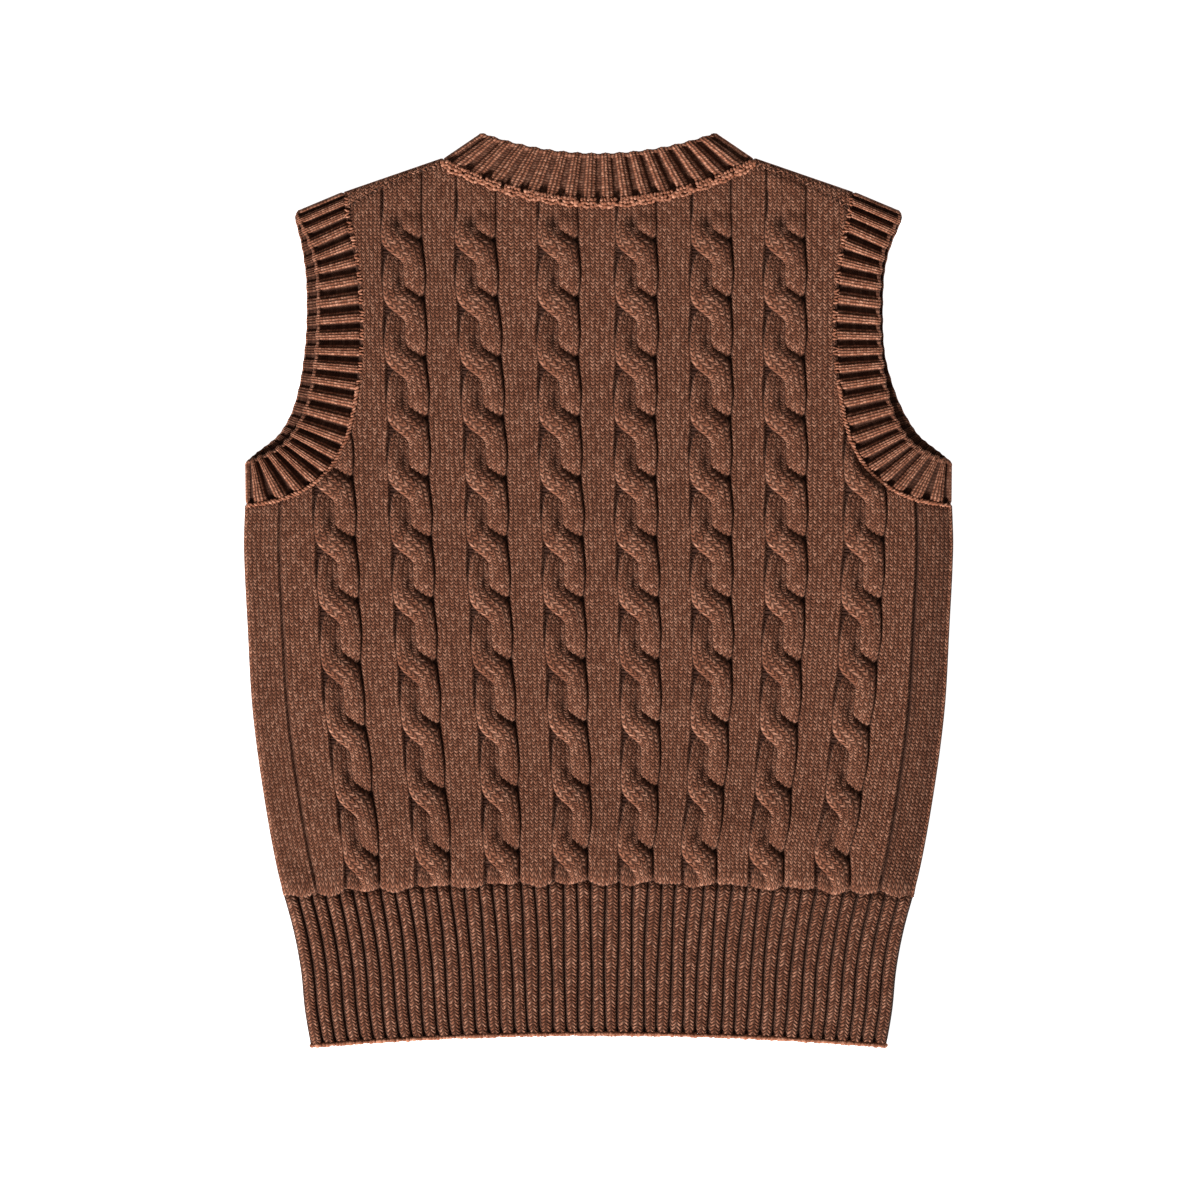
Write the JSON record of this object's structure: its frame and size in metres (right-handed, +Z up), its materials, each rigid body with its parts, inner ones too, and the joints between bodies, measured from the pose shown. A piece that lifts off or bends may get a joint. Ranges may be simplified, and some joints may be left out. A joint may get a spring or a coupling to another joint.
{
  "type": "knitted sweater vest, laid flat",
  "caption": "Sleeveless cable-knit sweater vest laid flat on its front, with ribbed hem, neckband and armbands.",
  "frame": {"origin": "on the surface that the vest lies on, under the middle of its box", "axes": "+X to the right seen from above, +Y from the hem towards the neck, +Z up from the surface, out of the vest's back"},
  "size_m": [0.319, 0.4114, 0.009],
  "materials": {
    "body_knit": "matt heathered cotton yarn, cable knit",
    "rib_knit": "matt heathered cotton yarn, two by two rib"
  },
  "bodies": {
    "root": {"back_panel": "body_knit", "front_panel": "body_knit", "hem_rib_back": "rib_knit", "hem_rib_front": "rib_knit", "neckband": "rib_knit", "armband_left": "rib_knit", "armband_right": "rib_knit"}
  },
  "joints": []
}
